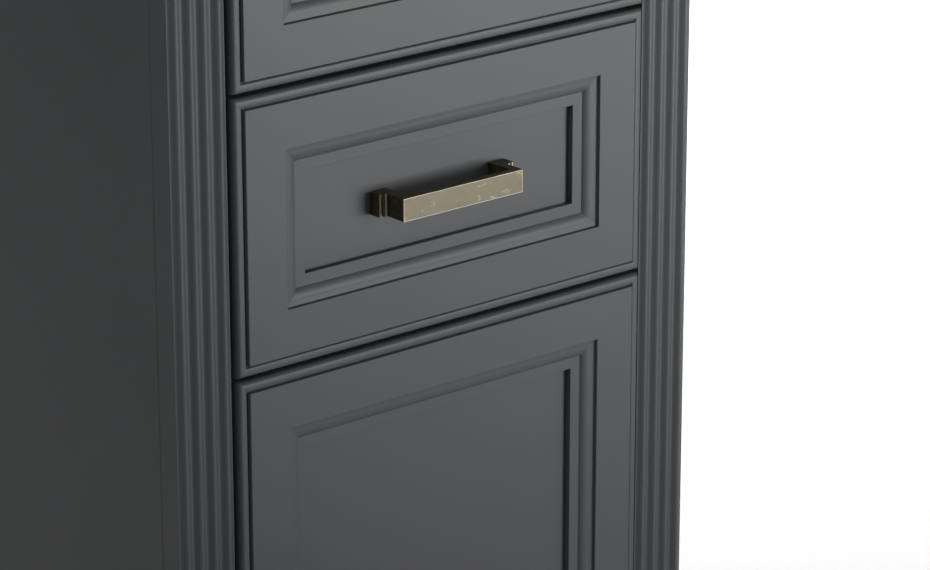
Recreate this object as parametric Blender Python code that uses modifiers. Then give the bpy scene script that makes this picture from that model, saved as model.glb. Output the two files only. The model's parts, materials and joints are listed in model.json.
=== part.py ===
"""Pantry cabinet: a tall, narrow cupboard with reeded pilasters.

A tall door above, one drawer in the middle and a short door below are inset
between two reeded pilasters. Every front is a mitred frame round a sunk panel,
the doors hang on concealed hinges and the drawer on full-extension runners.

Metres, +Z up, front towards -Y. The origin is on the floor, under the middle
of the cabinet's bounding box. Run it with
    blender --background --python part.py
"""

import math

import bmesh
import bpy
from mathutils import Matrix, Vector

# ---------------------------------------------------------------- driving sizes
WIDTH = 0.550
HEIGHT = 2.100
CARCASS_DEPTH = 0.5444
BOARD = 0.018
FIT = 0.0003
FRONT_GAP = 0.003

# Pilasters
OPENING = 0.440
PILASTER_THICKNESS = 0.0264
REED_COUNT = 4
REED_RISE = 0.004
REED_STEPS = 8

# Fronts
LOWER_DOOR_HEIGHT = 0.496
DRAWER_HEIGHT = 0.234
FRONT_THICKNESS = 0.022
FIELD_PROUD = 0.0032

# Frame moulding: widths run inwards from the outer edge, depths down from the field
LIP_DEPTH = 0.0062
BEAD_WIDTH = 0.0085
BEAD_DEPTH = 0.0020
GROOVE_DEPTH = 0.0046
BORDER_WIDTH = 0.0100
FIELD_WIDTH = 0.0395
OVOLO_WALL = 0.0033
OVOLO_WIDTH = 0.0135
LEDGE_DEPTH = 0.0080
LEDGE_WIDTH = 0.0103
PANEL_DEPTH = 0.0140
PANEL_THICKNESS = 0.0050
PANEL_BITE = 0.0075
MITRE_GAP = 0.0002

# Bridge handles, with holes at the standard 128 mm
HANDLE_HOLES = 0.128
HANDLE_BAR_LENGTH = 0.127
HANDLE_WIDTH = 0.0195
HANDLE_REACH = 0.034
HANDLE_BAR = 0.007
HANDLE_LEG = 0.008
HANDLE_FOOT_LENGTH = 0.0168
HANDLE_FOOT_BEYOND = 0.0074
HANDLE_FOOT_HEIGHT = 0.013
HANDLE_FROM_EDGE = 0.248

# Base and top
PLINTH_HEIGHT = 0.100
PLINTH_SET_BACK = 0.0044
FLOOR_GAP = 0.003
TOP_THICKNESS = 0.038
TOP_OVERHANG = 0.025
TOP_ROUND = 0.003
FOOT_RADIUS = 0.025
FOOT_FROM_SIDE = 0.055
FOOT_FROM_END = 0.060

# Interior
BACK_PANEL = 0.004
BACK_MARGIN = 0.001
BATTEN_DEPTH = 0.065
SHELF_PITCH = 0.032
SHELF_SET_BACK = 0.004
SHELF_CLEARANCE = 0.002
UPPER_SHELF_HOLES = (9, 17, 27)
LOWER_SHELF_HOLES = (8,)
DRAWER_WALL = 0.012
DRAWER_BOX_HEIGHT = 0.150
DRAWER_BOTTOM = 0.005
DRAWER_GROOVE_RISE = 0.012
DRAWER_CLEARANCE = 0.014

# Ball-bearing runners
RUNNER_LENGTH = 0.450
RUNNER_STACK = 0.0127
RUNNER_HEIGHT = 0.045
RUNNER_SHEET = 0.0014
RUNNER_LIP = 0.0025
RUNNER_RISE = 0.065
RUNNER_SET_BACK = 0.002

# Concealed hinges
CUP_RADIUS = 0.0172
CUP_DEPTH = 0.0115
CUP_WALL = 0.0012
CUP_FROM_EDGE = 0.0225
CUP_FLANGE = (0.018, 0.0014, 0.052)
HINGE_FROM_END = 0.100
HINGE_ARM_WIDTH = 0.014
HINGE_PLATE = (0.0022, 0.046, 0.048)

# ------------------------------------------------------------ derived positions
HALF = WIDTH / 2
HALF_OPENING = OPENING / 2
HALF_INSIDE = HALF - BOARD
FRONT_WIDTH = OPENING - 2 * FRONT_GAP
MEMBER_WIDTH = BORDER_WIDTH + FIELD_WIDTH + OVOLO_WIDTH + LEDGE_WIDTH

FIELD_Y = -(CARCASS_DEPTH + FIELD_PROUD - HANDLE_REACH - FIT) / 2
FACE_Y = FIELD_Y + FIELD_PROUD
BACK_Y = FACE_Y + CARCASS_DEPTH
FRONT_BACK_Y = FIELD_Y + FRONT_THICKNESS
PILASTER_BACK_Y = FACE_Y + PILASTER_THICKNESS
SIDE_FRONT_Y = PILASTER_BACK_Y + FIT
PLINTH_Y = FACE_Y + PLINTH_SET_BACK
BOARD_FRONT_Y = PLINTH_Y + BOARD + FIT
INSIDE_BACK_Y = BACK_Y - BACK_PANEL - FIT

CARCASS_TOP = HEIGHT - TOP_THICKNESS
LOWER_DOOR_Z = PLINTH_HEIGHT + FRONT_GAP
DRAWER_Z = LOWER_DOOR_Z + LOWER_DOOR_HEIGHT + FRONT_GAP
UPPER_DOOR_Z = DRAWER_Z + DRAWER_HEIGHT + FRONT_GAP
UPPER_DOOR_HEIGHT = CARCASS_TOP - FRONT_GAP - UPPER_DOOR_Z
LOWER_DIVIDER_Z = DRAWER_Z - (FRONT_GAP + BOARD) / 2
UPPER_DIVIDER_Z = UPPER_DOOR_Z - (FRONT_GAP + BOARD) / 2

DRAWER_BOX_Z = LOWER_DIVIDER_Z + BOARD + DRAWER_CLEARANCE
DRAWER_BOX_HALF = HALF_OPENING - RUNNER_STACK
DRAWER_BOX_Y = FRONT_BACK_Y + FIT
RUNNER_Z = DRAWER_BOX_Z + RUNNER_RISE
RUNNER_Y = SIDE_FRONT_Y + RUNNER_SET_BACK

HINGE_X = FRONT_WIDTH / 2 + FRONT_GAP / 2

# --------------------------------------------------------------------- materials
# name: (linear colour, roughness, metallic)
FINISHES = {
    "graphite_lacquer": ((0.118, 0.122, 0.127), 0.42, 0.0),
    "graphite_board": ((0.100, 0.104, 0.108), 0.55, 0.0),
    "hardboard": ((0.130, 0.130, 0.132), 0.65, 0.0),
    "beech_ply": ((0.480, 0.350, 0.215), 0.50, 0.0),
    "aged_brass": ((0.330, 0.275, 0.175), 0.38, 1.0),
    "zinc_steel": ((0.550, 0.560, 0.570), 0.35, 1.0),
    "nickel_steel": ((0.620, 0.610, 0.590), 0.28, 1.0),
    "black_plastic": ((0.020, 0.020, 0.020), 0.60, 0.0),
}


def clear_scene():
    """Empties the scene and makes one collection for parts and one for cutters."""
    for obj in list(bpy.data.objects):
        bpy.data.objects.remove(obj, do_unlink=True)
    collections = []
    for name in ("pantry_cabinet", "cutters"):
        collection = bpy.data.collections.new(name)
        bpy.context.scene.collection.children.link(collection)
        collections.append(collection)
    return collections


PARTS, CUTTERS = clear_scene()


def finish_material(name):
    """The named finish as a Principled BSDF, made once."""
    if name in bpy.data.materials:
        return bpy.data.materials[name]
    colour, roughness, metallic = FINISHES[name]
    material = bpy.data.materials.new(name)
    material.use_nodes = True
    shader = material.node_tree.nodes["Principled BSDF"]
    shader.inputs["Base Color"].default_value = (*colour, 1.0)
    shader.inputs["Roughness"].default_value = roughness
    shader.inputs["Metallic"].default_value = metallic
    material.diffuse_color = (*colour, 1.0)
    return material


def body_empty(name, location=(0, 0, 0)):
    """An empty that carries one rigid body, standing on its joint's axis."""
    empty = bpy.data.objects.new(name, None)
    empty.location = location
    PARTS.objects.link(empty)
    return empty


def add_part(name, mesh, finish, body, place=(0, 0, 0), turn=(0, 0, 0)):
    """Links a mesh as a named part of a body, placed in world space."""
    obj = bpy.data.objects.new(name, mesh)
    PARTS.objects.link(obj)
    mesh.materials.clear()
    mesh.materials.append(finish_material(finish))
    obj.location = Vector(place) - body.location
    obj.rotation_euler = turn
    obj.parent = body
    return obj


def add_cutter(name, mesh, place, turn=(0, 0, 0)):
    """A helper that shapes its neighbour and is no part of the cabinet."""
    obj = bpy.data.objects.new(name, mesh)
    CUTTERS.objects.link(obj)
    obj.location = place
    obj.rotation_euler = turn
    obj.hide_render = True
    obj.display_type = "WIRE"
    return obj


def boolean(obj, cutter, operation):
    """Adds an exact Boolean modifier."""
    modifier = obj.modifiers.new(cutter.name, "BOOLEAN")
    modifier.object = cutter
    modifier.operation = operation
    modifier.solver = "EXACT"


# ------------------------------------------------------------------ mesh makers
def primitive_mesh(add, **settings):
    """Runs a primitive operator and keeps only its mesh, with its scale applied."""
    add(**settings)
    obj = bpy.context.active_object
    mesh = obj.data
    mesh.transform(Matrix.Diagonal((*obj.scale, 1.0)))
    bpy.data.objects.remove(obj, do_unlink=True)
    return mesh


def box_mesh(size):
    """A box of this size, centred on its origin."""
    return primitive_mesh(bpy.ops.mesh.primitive_cube_add, size=1, scale=size)


def cylinder_mesh(radius, depth, sides=32):
    """A cylinder along local Z, centred on its origin."""
    mesh = primitive_mesh(
        bpy.ops.mesh.primitive_cylinder_add, radius=radius, depth=depth, vertices=sides
    )
    mesh.shade_smooth()
    mesh.set_sharp_from_angle(angle=math.radians(40))
    return mesh


def prism_mesh(outline, length):
    """A flat outline in local X and Y, extruded along local Z about its middle."""
    curve = bpy.data.curves.new("outline", "CURVE")
    curve.dimensions = "2D"
    curve.fill_mode = "BOTH"
    curve.extrude = length / 2
    spline = curve.splines.new("POLY")
    spline.points.add(len(outline) - 1)
    for point, (x, y) in zip(spline.points, outline):
        point.co = (x, y, 0, 1)
    spline.use_cyclic_u = True
    guide = bpy.data.objects.new("outline", curve)
    bpy.context.scene.collection.objects.link(guide)
    graph = bpy.context.evaluated_depsgraph_get()
    mesh = bpy.data.meshes.new_from_object(guide.evaluated_get(graph))
    bpy.data.objects.remove(guide, do_unlink=True)
    bm = bmesh.new()
    bm.from_mesh(mesh)
    bmesh.ops.remove_doubles(bm, verts=bm.verts, dist=1e-6)
    bmesh.ops.recalc_face_normals(bm, faces=bm.faces)
    bm.to_mesh(mesh)
    bm.free()
    mesh.shade_smooth()
    mesh.set_sharp_from_angle(angle=math.radians(35))
    return mesh


def cut_mesh(mesh, point, normal):
    """Cuts away what lies on the normal's side of a plane and closes the cut."""
    bm = bmesh.new()
    bm.from_mesh(mesh)
    cut = bmesh.ops.bisect_plane(
        bm,
        geom=bm.verts[:] + bm.edges[:] + bm.faces[:],
        plane_co=point,
        plane_no=normal,
        clear_outer=True,
    )
    rim = [part for part in cut["geom_cut"] if isinstance(part, bmesh.types.BMEdge)]
    bmesh.ops.edgenet_fill(bm, edges=rim)
    bmesh.ops.recalc_face_normals(bm, faces=bm.faces)
    bm.to_mesh(mesh)
    bm.free()
    mesh.set_sharp_from_angle(angle=math.radians(35))


def arc(centre, radii, start, end, steps):
    """Points along an elliptical arc, its ends included, with angles in degrees."""
    points = []
    for i in range(steps + 1):
        angle = math.radians(start + (end - start) * i / steps)
        points.append(
            (centre[0] + radii[0] * math.cos(angle), centre[1] + radii[1] * math.sin(angle))
        )
    return points


def sagging_arc(start, end, rise, steps):
    """Points along a circular arc over a level chord, with this rise at its middle."""
    half = (end[0] - start[0]) / 2
    radius = (half**2 + rise**2) / (2 * abs(rise))
    sweep = math.degrees(math.asin(min(1, abs(half) / radius)))
    side = math.copysign(1, rise)
    centre = (start[0] + half, start[1] + rise - side * radius)
    first = side * (90 + math.copysign(sweep, half))
    last = side * (90 - math.copysign(sweep, half))
    return arc(centre, (radius, radius), first, last, steps)


def board(name, finish, body, low, high):
    """A rectangular board between two corners in world space."""
    low, high = Vector(low), Vector(high)
    return add_part(name, box_mesh(high - low), finish, body, (low + high) / 2)


# ------------------------------------------------------------------ the carcass
def pilaster_outline():
    """Plan of a pilaster: rounded reeds, with a valley at each edge."""
    width = HALF - HALF_OPENING
    steps = REED_COUNT * REED_STEPS
    points = [(-width / 2, -PILASTER_THICKNESS)]
    for i in range(steps + 1):
        depth = REED_RISE * (1 + math.cos(2 * math.pi * i / REED_STEPS)) / 2
        points.append((width * (i / steps - 0.5), -depth))
    points.append((width / 2, -PILASTER_THICKNESS))
    return points


def build_pilasters(root):
    """The two reeded posts that flank the fronts."""
    low, high = FLOOR_GAP, CARCASS_TOP - FIT
    centre = (HALF + HALF_OPENING) / 2
    for side, sign in (("left", -1), ("right", 1)):
        mesh = prism_mesh(pilaster_outline(), high - low)
        place = (sign * centre, FACE_Y, (low + high) / 2)
        add_part(f"pilaster_{side}", mesh, "graphite_lacquer", root, place, (0, 0, math.pi))


def notched_board(name, body, z):
    """A full-depth board with its front corners notched round the pilasters."""
    wide = HALF_INSIDE - FIT
    narrow = HALF_OPENING - FIT
    outline = [
        (-narrow, BOARD_FRONT_Y), (narrow, BOARD_FRONT_Y),
        (narrow, SIDE_FRONT_Y), (wide, SIDE_FRONT_Y),
        (wide, INSIDE_BACK_Y), (-wide, INSIDE_BACK_Y),
        (-wide, SIDE_FRONT_Y), (-narrow, SIDE_FRONT_Y),
    ]
    add_part(name, prism_mesh(outline, BOARD), "graphite_board", body, (0, 0, z + BOARD / 2))


def build_shell(root):
    """Side panels, fixed boards, plinth and back."""
    for side, sign in (("left", -1), ("right", 1)):
        inner, outer = sorted((sign * HALF_INSIDE, sign * HALF))
        board(
            f"side_panel_{side}", "graphite_lacquer", root,
            (inner, SIDE_FRONT_Y, FLOOR_GAP), (outer, INSIDE_BACK_Y, CARCASS_TOP - FIT),
        )
    notched_board("bottom_panel", root, PLINTH_HEIGHT - BOARD)
    notched_board("divider_lower", root, LOWER_DIVIDER_Z)
    notched_board("divider_upper", root, UPPER_DIVIDER_Z)
    half_plinth = HALF_OPENING - FIT
    board(
        "plinth", "graphite_lacquer", root,
        (-half_plinth, PLINTH_Y, FLOOR_GAP), (half_plinth, PLINTH_Y + BOARD, PLINTH_HEIGHT),
    )
    board(
        "back_panel", "hardboard", root,
        (-HALF + BACK_MARGIN, BACK_Y - BACK_PANEL, PLINTH_HEIGHT - BOARD),
        (HALF - BACK_MARGIN, BACK_Y, CARCASS_TOP - FIT),
    )


def top_board_outline():
    """Edge of the top board, from below: distance out from the carcass and height."""
    points = [(-0.004, 0), (0.004, 0), (0.004, 0.004)]
    points += arc((0.004, 0.016), (0.012, 0.012), -90, 0, 5)[1:]
    points += [(0.019, 0.016), (0.019, 0.019)]
    points += arc((0.019, 0.025), (0.006, 0.006), -90, 0, 4)[1:]
    centre = (TOP_OVERHANG - TOP_ROUND, TOP_THICKNESS - TOP_ROUND)
    points += arc(centre, (TOP_ROUND, TOP_ROUND), 0, 90, 3)
    return points


def build_top_board(root):
    """The top board: its outline steps out over the front and both sides."""
    bm = bmesh.new()
    bmesh.ops.create_grid(bm, x_segments=1, y_segments=1, size=1)
    bmesh.ops.delete(bm, geom=bm.faces[:], context="FACES_ONLY")
    ring, corners = bm.edges[:], bm.verts[:]
    for reach, height in top_board_outline():
        for vert in corners:
            vert.co.x = math.copysign(HALF + reach, vert.co.x)
            vert.co.y = FACE_Y - reach if vert.co.y < 0 else BACK_Y
            vert.co.z = height
        if height < TOP_THICKNESS:
            grown = bmesh.ops.extrude_edge_only(bm, edges=ring)["geom"]
            corners = [part for part in grown if isinstance(part, bmesh.types.BMVert)]
            edges = [part for part in grown if isinstance(part, bmesh.types.BMEdge)]
            ring = [edge for edge in edges if set(edge.verts) <= set(corners)]
    bmesh.ops.holes_fill(bm, edges=bm.edges[:], sides=4)
    bmesh.ops.recalc_face_normals(bm, faces=bm.faces)
    mesh = bpy.data.meshes.new("top_board")
    bm.to_mesh(mesh)
    bm.free()
    mesh.shade_smooth()
    mesh.set_sharp_from_angle(angle=math.radians(30))
    add_part("top_board", mesh, "graphite_lacquer", root, (0, 0, CARCASS_TOP))


def build_feet(root):
    """Four levelling feet under the bottom panel."""
    top = PLINTH_HEIGHT - BOARD - FIT
    profile = [
        (0, top), (0.030, top), (0.030, top - 0.004), (0.017, top - 0.008),
        (0.017, top - 0.045), (0.011, top - 0.046), (0.011, 0.012), (0.021, 0.008),
        (FOOT_RADIUS, 0.004), (FOOT_RADIUS, 0), (0, 0),
    ]
    mesh = bpy.data.meshes.new("foot")
    edges = [(i, i + 1) for i in range(len(profile) - 1)]
    mesh.from_pydata([(r, 0, z) for r, z in profile], edges, [])
    x = HALF_INSIDE - FOOT_FROM_SIDE
    ends = {"front": SIDE_FRONT_Y + FOOT_FROM_END, "back": INSIDE_BACK_Y - FOOT_FROM_END}
    for depth, y in ends.items():
        for side, sign in (("left", -1), ("right", 1)):
            place = (sign * x, y, 0)
            foot = add_part(f"foot_{depth}_{side}", mesh.copy(), "black_plastic", root, place)
            screw = foot.modifiers.new("turned", "SCREW")
            screw.steps = screw.render_steps = 24
            screw.use_merge_vertices = True
            screw.merge_threshold = 0.00005
            screw.use_smooth_shade = False


def build_interior(root):
    """Battens that carry the hinges, packing behind the runners, and the shelves."""
    inner, outer = HALF_OPENING, HALF_INSIDE - FIT
    bays = {
        "lower": (PLINTH_HEIGHT, LOWER_DIVIDER_Z, LOWER_SHELF_HOLES),
        "upper": (UPPER_DIVIDER_Z + BOARD, CARCASS_TOP, UPPER_SHELF_HOLES),
    }
    batten_back = SIDE_FRONT_Y + BATTEN_DEPTH
    for bay, (low, high, _) in bays.items():
        board(
            f"hinge_batten_{bay}", "graphite_board", root,
            (inner, SIDE_FRONT_Y, low + FIT), (outer, batten_back, high - FIT),
        )
    half_height = RUNNER_HEIGHT / 2 + 0.010
    for side, sign in (("left", -1), ("right", 1)):
        low_x, high_x = sorted((sign * inner, sign * outer))
        board(
            f"runner_packing_{side}", "graphite_board", root,
            (low_x, SIDE_FRONT_Y, RUNNER_Z - half_height),
            (high_x, RUNNER_Y + RUNNER_LENGTH + 0.005, RUNNER_Z + half_height),
        )

    wide = HALF_INSIDE - 0.001
    front, back = SIDE_FRONT_Y + SHELF_SET_BACK, INSIDE_BACK_Y - 0.003
    notch_x, notch_y = inner - SHELF_CLEARANCE, batten_back + SHELF_CLEARANCE
    outline = [
        (-wide, front), (notch_x, front), (notch_x, notch_y),
        (wide, notch_y), (wide, back), (-wide, back),
    ]
    for bay, (low, _, holes) in bays.items():
        for number, hole in enumerate(holes, start=1):
            z = low + hole * SHELF_PITCH
            add_part(
                f"shelf_{bay}_{number}", prism_mesh(outline, BOARD), "graphite_board",
                root, (0, 0, z),
            )


# ------------------------------------------------------------------- the fronts
def frame_outline():
    """Section of a frame member: X inwards from its outer edge, Y up from the field."""
    bead_start = 0.0008
    points = [(0, -FRONT_THICKNESS), (0, -LIP_DEPTH)]
    # The bead: a half-round between the lip and the groove before the field.
    rise = LIP_DEPTH - BEAD_DEPTH
    crest = (bead_start + BEAD_WIDTH) / 2
    half = (BEAD_WIDTH - bead_start) / 2
    points += arc((crest, -LIP_DEPTH), (half, rise), 180, 90, 4)
    points += arc((crest, -GROOVE_DEPTH), (half, GROOVE_DEPTH - BEAD_DEPTH), 90, 0, 4)[1:]
    points += [(BORDER_WIDTH - 0.0006, -GROOVE_DEPTH), (BORDER_WIDTH, 0)]
    # The inner moulding: a wall, an ovolo, a flat ledge and the edge over the panel.
    field_end = BORDER_WIDTH + FIELD_WIDTH
    ovolo_end = field_end + OVOLO_WIDTH
    points += [(field_end, 0), (field_end + 0.0003, -OVOLO_WALL)]
    points += arc(
        (field_end + 0.0003, -LEDGE_DEPTH),
        (OVOLO_WIDTH - 0.0003, LEDGE_DEPTH - OVOLO_WALL), 90, 0, 7,
    )[1:]
    inner = ovolo_end + LEDGE_WIDTH
    groove = inner - PANEL_BITE
    panel_back = PANEL_DEPTH + PANEL_THICKNESS
    points += [
        (inner, -LEDGE_DEPTH), (inner, -PANEL_DEPTH + FIT), (groove, -PANEL_DEPTH + FIT),
        (groove, -panel_back - FIT), (inner, -panel_back - FIT), (inner, -FRONT_THICKNESS),
    ]
    return points


def build_frame(name, body, z, height):
    """Two stiles and two rails, mitred, round a sunk panel. Returns the right stile."""
    half, middle, quarter = FRONT_WIDTH / 2, z + height / 2, math.pi / 2
    members = {
        "stile_left": (height, (-half, FIELD_Y, middle), (math.pi, 0, 0)),
        "stile_right": (height, (half, FIELD_Y, middle), (0, 0, math.pi)),
        "rail_bottom": (FRONT_WIDTH, (0, FIELD_Y, z), (math.pi, -quarter, 0)),
        "rail_top": (FRONT_WIDTH, (0, FIELD_Y, z + height), (math.pi, quarter, 0)),
    }
    made = {}
    for member, (length, place, turn) in members.items():
        mesh = prism_mesh(frame_outline(), length)
        for end in (1, -1):
            cut_mesh(mesh, (0, 0, end * (length / 2 - MITRE_GAP)), (1, 0, end))
        made[member] = add_part(f"{name}_{member}", mesh, "graphite_lacquer", body, place, turn)
    margin = MEMBER_WIDTH - PANEL_BITE + FIT
    panel_y = FIELD_Y + PANEL_DEPTH
    board(
        f"{name}_panel", "graphite_lacquer", body,
        (-half + margin, panel_y, z + margin),
        (half - margin, panel_y + PANEL_THICKNESS, z + height - margin),
    )
    return made["stile_right"]


def half_handle_outline():
    """One end of a bridge handle: X along it from the middle, Y out from its seat."""
    end = HANDLE_BAR_LENGTH / 2
    foot_end = HANDLE_HOLES / 2 + HANDLE_FOOT_BEYOND
    foot_start = foot_end - HANDLE_FOOT_LENGTH
    leg = end - HANDLE_LEG
    top, fillet, bead = HANDLE_FOOT_HEIGHT, 0.003, 0.0015
    under = HANDLE_REACH - HANDLE_BAR
    points = arc((leg - fillet, under - fillet), (fillet, fillet), 90, 0, 4)
    points += [(leg, top - 0.001), (foot_start, top - 0.002), (foot_start, 0)]
    points += [(foot_end, 0), (foot_end, top - 0.001), (foot_end - 0.001, top)]
    hollow_start = foot_end - 0.0018
    points += sagging_arc((hollow_start, top), (end + 2 * bead, top), -0.0012, 5)
    points += arc((end + bead, top), (bead, bead), 0, 180, 6)[1:]
    points.append((end, HANDLE_REACH))
    return points


def build_handle(name, body, place, upright):
    """A bridge handle standing on the face that passes through this place."""
    right = half_handle_outline()
    outline = right + [(-x, y) for x, y in reversed(right)]
    mesh = prism_mesh(outline, HANDLE_WIDTH)
    turn = (0, math.pi / 2, math.pi) if upright else (0, 0, math.pi)
    handle = add_part(name, mesh, "aged_brass", body, place, turn)
    bevel = handle.modifiers.new("soft_edges", "BEVEL")
    bevel.width = 0.0004
    bevel.segments = 1
    bevel.limit_method = "ANGLE"
    bevel.angle_limit = math.radians(60)


# ----------------------------------------------------------------------- hinges
def build_hinge(name, root, door, stile, z):
    """A concealed hinge: a cup let into the door's stile and an arm on the batten."""
    cup_x = FRONT_WIDTH / 2 - CUP_FROM_EDGE
    back = FRONT_BACK_Y + FIT
    across = (math.pi / 2, 0, 0)
    bore = cylinder_mesh(CUP_RADIUS + FIT, 2 * (CUP_DEPTH + FIT))
    bore = add_cutter(f"{name}_bore", bore, (cup_x, FRONT_BACK_Y, z), across)
    boolean(stile, bore, "DIFFERENCE")

    flange = CUP_FLANGE[1]
    cup = add_part(
        f"{name}_cup", box_mesh(CUP_FLANGE), "nickel_steel", door, (cup_x, back + flange / 2, z)
    )
    shell_depth = CUP_DEPTH + flange / 2
    shell = cylinder_mesh(CUP_RADIUS, shell_depth)
    shell_y = back - CUP_DEPTH + shell_depth / 2
    boolean(cup, add_cutter(f"{name}_shell", shell, (cup_x, shell_y, z), across), "UNION")
    hollow_depth = CUP_DEPTH + 2 * flange
    hollow = cylinder_mesh(CUP_RADIUS - CUP_WALL, hollow_depth)
    hollow_y = back - CUP_DEPTH + CUP_WALL + hollow_depth / 2
    boolean(cup, add_cutter(f"{name}_hollow", hollow, (cup_x, hollow_y, z), across), "DIFFERENCE")

    thick, plate_depth, _ = HINGE_PLATE
    face = HALF_OPENING - FIT
    plate_y = SIDE_FRONT_Y + 0.006 + plate_depth / 2
    arm = add_part(
        f"{name}_arm", box_mesh(HINGE_PLATE), "nickel_steel", root,
        (face - thick / 2, plate_y, z),
    )
    front = back + flange + 0.0012
    seat = face - thick / 2
    outline = [
        (seat, plate_y - 0.016), (seat - 0.004, front + 0.006), (seat - 0.006, front),
        (seat - 0.016, front), (seat - 0.014, front + 0.012), (seat - 0.010, plate_y),
        (seat - 0.009, plate_y + 0.026), (seat, plate_y + 0.020),
    ]
    bridge = add_cutter(f"{name}_bridge", prism_mesh(outline, HINGE_ARM_WIDTH), (0, 0, z))
    boolean(arm, bridge, "UNION")


def hinge_heights(z, height, count):
    """Hinge positions: one near each end of the door and the rest evenly between."""
    low, high = z + HINGE_FROM_END, z + height - HINGE_FROM_END
    return [low + (high - low) * i / (count - 1) for i in range(count)]


def build_door(name, root, z, height, hinges, handle_z):
    """A door hung on its right edge, with its handle upright on the left stile."""
    door = body_empty(f"{name}_axis", (HINGE_X, FIELD_Y, z))
    stile = build_frame(name, door, z, height)
    for number, hinge_z in enumerate(hinge_heights(z, height, hinges), start=1):
        build_hinge(f"{name}_hinge_{number}", root, door, stile, hinge_z)
    handle_x = -FRONT_WIDTH / 2 + BORDER_WIDTH + FIELD_WIDTH / 2
    build_handle(f"{name}_handle", door, (handle_x, FIELD_Y - FIT, handle_z), upright=True)


# ------------------------------------------------------------------- the drawer
def channel_outline(height, depth):
    """A C section of folded sheet: X is its depth, open at +X, and Y its height."""
    top, sheet, lip = height / 2, RUNNER_SHEET, RUNNER_LIP
    upper = [
        (0, top), (depth, top), (depth, top - lip), (depth - sheet, top - lip),
        (depth - sheet, top - sheet), (sheet, top - sheet),
    ]
    return upper + [(x, -y) for x, y in reversed(upper)]


def build_runners(root, middle, drawer):
    """Runners in three members: on the carcass, in the middle and on the drawer."""
    step = RUNNER_SHEET + 0.0006
    inside_lips = 2 * RUNNER_LIP + 0.001
    middle_height = RUNNER_HEIGHT - inside_lips
    drawer_height = middle_height - inside_lips
    face = HALF_OPENING - FIT
    box_face = DRAWER_BOX_HALF + FIT
    # name, body, height, depth, distance of the web from the middle, way it opens
    members = (
        ("carcass_runner", root, RUNNER_HEIGHT, 0.0085, face, -1),
        ("middle_runner", middle, middle_height, 0.0072, face - step, -1),
        ("drawer_runner", drawer, drawer_height, 0.0055, box_face, 1),
    )
    centre_y = RUNNER_Y + RUNNER_LENGTH / 2
    for side, sign in (("left", -1), ("right", 1)):
        for label, body, height, depth, web, way in members:
            mesh = prism_mesh(channel_outline(height, depth), RUNNER_LENGTH)
            spin = 0 if way * sign > 0 else math.pi
            add_part(
                f"{label}_{side}", mesh, "zinc_steel", body,
                (sign * web, centre_y, RUNNER_Z), (math.pi / 2, spin, 0),
            )


def build_drawer_box(drawer):
    """Grooved sides, a back, and the bottom that slides into the grooves."""
    rise, bite = DRAWER_GROOVE_RISE, DRAWER_WALL / 2
    slot = DRAWER_BOTTOM + 2 * FIT
    wall, height = DRAWER_WALL, DRAWER_BOX_HEIGHT
    grooved = [
        (0, 0), (wall, 0), (wall, rise), (bite, rise),
        (bite, rise + slot), (wall, rise + slot), (wall, height), (0, height),
    ]
    front, rear = DRAWER_BOX_Y, DRAWER_BOX_Y + RUNNER_LENGTH
    for side, sign in (("left", -1), ("right", 1)):
        outline = [(-sign * x, y) for x, y in grooved]
        mesh = prism_mesh(outline, RUNNER_LENGTH)
        place = (sign * DRAWER_BOX_HALF, (front + rear) / 2, DRAWER_BOX_Z)
        add_part(f"drawer_side_{side}", mesh, "beech_ply", drawer, place, (math.pi / 2, 0, 0))
    inner = DRAWER_BOX_HALF - wall - FIT
    board(
        "drawer_back", "beech_ply", drawer,
        (-inner, rear - wall, DRAWER_BOX_Z + rise + slot), (inner, rear, DRAWER_BOX_Z + height),
    )
    half = DRAWER_BOX_HALF - bite - FIT
    bottom = DRAWER_BOX_Z + rise + FIT
    board(
        "drawer_bottom", "beech_ply", drawer,
        (-half, front, bottom), (half, rear, bottom + DRAWER_BOTTOM),
    )


def build_drawer(root):
    """The drawer with its framed front, its handle, its box and its runners."""
    drawer = body_empty("drawer_axis", (0, FIELD_Y, DRAWER_Z))
    middle = body_empty("middle_runner_axis", (0, FIELD_Y, RUNNER_Z))
    build_frame("drawer", drawer, DRAWER_Z, DRAWER_HEIGHT)
    seat = (0, FIELD_Y + PANEL_DEPTH - FIT, DRAWER_Z + DRAWER_HEIGHT / 2)
    build_handle("drawer_handle", drawer, seat, upright=False)
    build_drawer_box(drawer)
    build_runners(root, middle, drawer)


def main():
    """Builds the cabinet body by body."""
    root = body_empty("carcass")
    build_pilasters(root)
    build_shell(root)
    build_top_board(root)
    build_feet(root)
    build_interior(root)
    lower_handle_z = LOWER_DOOR_Z + LOWER_DOOR_HEIGHT - HANDLE_FROM_EDGE
    build_door("lower_door", root, LOWER_DOOR_Z, LOWER_DOOR_HEIGHT, 2, lower_handle_z)
    upper_handle_z = UPPER_DOOR_Z + HANDLE_FROM_EDGE
    build_door("upper_door", root, UPPER_DOOR_Z, UPPER_DOOR_HEIGHT, 3, upper_handle_z)
    build_drawer(root)


main()
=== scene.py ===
"""Pantry cabinet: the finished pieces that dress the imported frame.

Lacquered frames round sunk panels stand between two reeded pilasters, with
aged brass bridge handles outside and melamine boards, steel runners and
concealed hinges inside. Lengths are in metres, and +Z is up.
"""

import json
import logging
import math
from collections.abc import Iterable
from dataclasses import dataclass, field
from enum import Enum

import bmesh
import bpy
from mathutils import Matrix, Vector

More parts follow.
